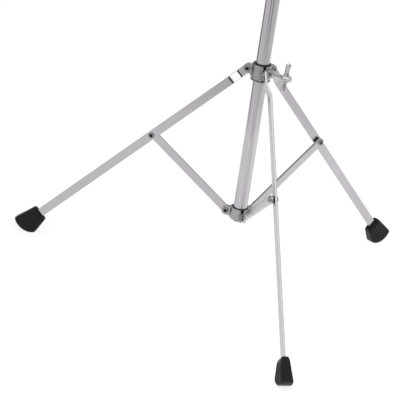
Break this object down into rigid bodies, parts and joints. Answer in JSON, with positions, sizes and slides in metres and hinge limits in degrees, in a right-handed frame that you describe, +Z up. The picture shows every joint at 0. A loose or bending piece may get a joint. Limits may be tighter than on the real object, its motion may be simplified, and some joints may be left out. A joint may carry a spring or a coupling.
{
  "type": "practice pad stand",
  "caption": "Folding flat-bar tripod with a sliding clamp collar, a telescopic tube, a tilter and a threaded stud that carries a drum practice pad.",
  "frame": {"origin": "on the floor, in the middle of the stand's outline seen from above", "axes": "+Z up along the tube; -Y is the way the front leg points; +X to the right of someone facing the front leg from outside"},
  "size_m": [0.6546, 0.5732, 0.7168],
  "materials": {
    "plated_steel": "bright plated steel, lightly satin on the flat bars",
    "rivet_steel": "darkened steel rivets",
    "foot_rubber": "matte black moulded rubber",
    "nylon": "natural white nylon",
    "black_plastic": "matte black moulded plastic"
  },
  "bodies": {
    "base": {"base_tube": "plated_steel", "base_tube_plug": "black_plastic", "bracket_plate_front_left": "plated_steel", "bracket_plate_front_right": "plated_steel", "bracket_plate_rear": "plated_steel", "bracket_rivet_front": "rivet_steel", "bracket_rivet_left": "rivet_steel", "bracket_rivet_right": "rivet_steel", "bracket_sleeve": "black_plastic", "height_clamp": "plated_steel", "height_clamp_liner": "nylon"},
    "collar": {"collar_boss": "plated_steel", "collar_liner": "nylon", "collar_plate_front_left": "plated_steel", "collar_plate_front_right": "plated_steel", "collar_plate_rear": "plated_steel", "collar_rivet_front": "rivet_steel", "collar_rivet_left": "rivet_steel", "collar_rivet_right": "rivet_steel"},
    "collar_screw": {"collar_wing_bolt": "plated_steel"},
    "leg_front": {"leg_front": "plated_steel", "foot_front": "foot_rubber", "leg_rivet_front": "rivet_steel", "leg_spacer_front": "nylon"},
    "leg_right": {"leg_right": "plated_steel", "foot_right": "foot_rubber", "leg_rivet_right": "rivet_steel", "leg_spacer_right": "nylon"},
    "leg_left": {"leg_left": "plated_steel", "foot_left": "foot_rubber", "leg_rivet_left": "rivet_steel", "leg_spacer_left": "nylon"},
    "strut_front": {"strut_front": "plated_steel", "strut_rivet_front": "rivet_steel"},
    "strut_right": {"strut_right": "plated_steel", "strut_rivet_right": "rivet_steel"},
    "strut_left": {"strut_left": "plated_steel", "strut_rivet_left": "rivet_steel"},
    "height_screw": {"height_wing_bolt": "plated_steel"},
    "mast": {"upper_tube": "plated_steel", "upper_tube_guide": "nylon", "tilter_base": "plated_steel", "tilter_washer": "black_plastic", "tilter_nut": "plated_steel"},
    "tilt_head": {"tilter_head": "plated_steel", "pad_stud": "plated_steel", "pad_nut": "plated_steel", "pad_washer": "plated_steel"},
    "tilt_screw": {"tilter_wing_bolt": "plated_steel"}
  },
  "joints": [
    {"name": "collar_slide", "type": "slide", "parent": "base", "child": "collar", "axis": [0, 0, 1], "range_m": [0, 0.12644]},
    {"name": "leg_fold_front", "type": "hinge", "parent": "collar", "child": "leg_front", "pos_m": [0.0033, 0.06478, 0.36646], "axis": [1, 0, 0], "range_deg": [0, 39.2]},
    {"name": "leg_fold_right", "type": "hinge", "parent": "collar", "child": "leg_right", "pos_m": [0.0227, 0.09838, 0.36646], "axis": [-0.5, 0.866, 0], "range_deg": [0, 39.2]},
    {"name": "leg_fold_left", "type": "hinge", "parent": "collar", "child": "leg_left", "pos_m": [-0.0161, 0.09838, 0.36646], "axis": [-0.5, -0.866, 0], "range_deg": [0, 39.2]},
    {"name": "strut_fold_front", "type": "hinge", "parent": "base", "child": "strut_front", "pos_m": [0.0033, 0.06478, 0.122], "axis": [-1, 0, 0], "range_deg": [0, 50.48]},
    {"name": "strut_fold_right", "type": "hinge", "parent": "base", "child": "strut_right", "pos_m": [0.0227, 0.09838, 0.122], "axis": [0.5, -0.866, 0], "range_deg": [0, 50.48]},
    {"name": "strut_fold_left", "type": "hinge", "parent": "base", "child": "strut_left", "pos_m": [-0.0161, 0.09838, 0.122], "axis": [0.5, 0.866, 0], "range_deg": [0, 50.48]},
    {"name": "collar_screw_turn", "type": "hinge", "parent": "collar", "child": "collar_screw", "pos_m": [0.0033, 0.08718, 0.36646], "axis": [0.7771, -0.6293, 0], "range_deg": [0, 360]},
    {"name": "height_screw_turn", "type": "hinge", "parent": "base", "child": "height_screw", "pos_m": [0.0033, 0.08718, 0.54231], "axis": [0.7771, -0.6293, 0], "range_deg": [0, 360]},
    {"name": "mast_slide", "type": "slide", "parent": "base", "child": "mast", "axis": [0, 0, 1], "range_m": [-0.09, 0.09]},
    {"name": "tilt", "type": "hinge", "parent": "mast", "child": "tilt_head", "pos_m": [0.0033, 0.08718, 0.66881], "axis": [1, 0, 0], "range_deg": [-90, 90]},
    {"name": "tilt_screw_turn", "type": "hinge", "parent": "tilt_head", "child": "tilt_screw", "pos_m": [0.0033, 0.08718, 0.66881], "axis": [1, 0, 0], "range_deg": [0, 360]}
  ],
  "couplings": [
    {"joint": "leg_fold_front", "follows": "collar_slide", "rad_per_m": 5.4039},
    {"joint": "leg_fold_right", "follows": "collar_slide", "rad_per_m": 5.4039},
    {"joint": "leg_fold_left", "follows": "collar_slide", "rad_per_m": 5.4039},
    {"joint": "strut_fold_front", "follows": "collar_slide", "rad_per_m": 6.9608},
    {"joint": "strut_fold_right", "follows": "collar_slide", "rad_per_m": 6.9608},
    {"joint": "strut_fold_left", "follows": "collar_slide", "rad_per_m": 6.9608}
  ]
}
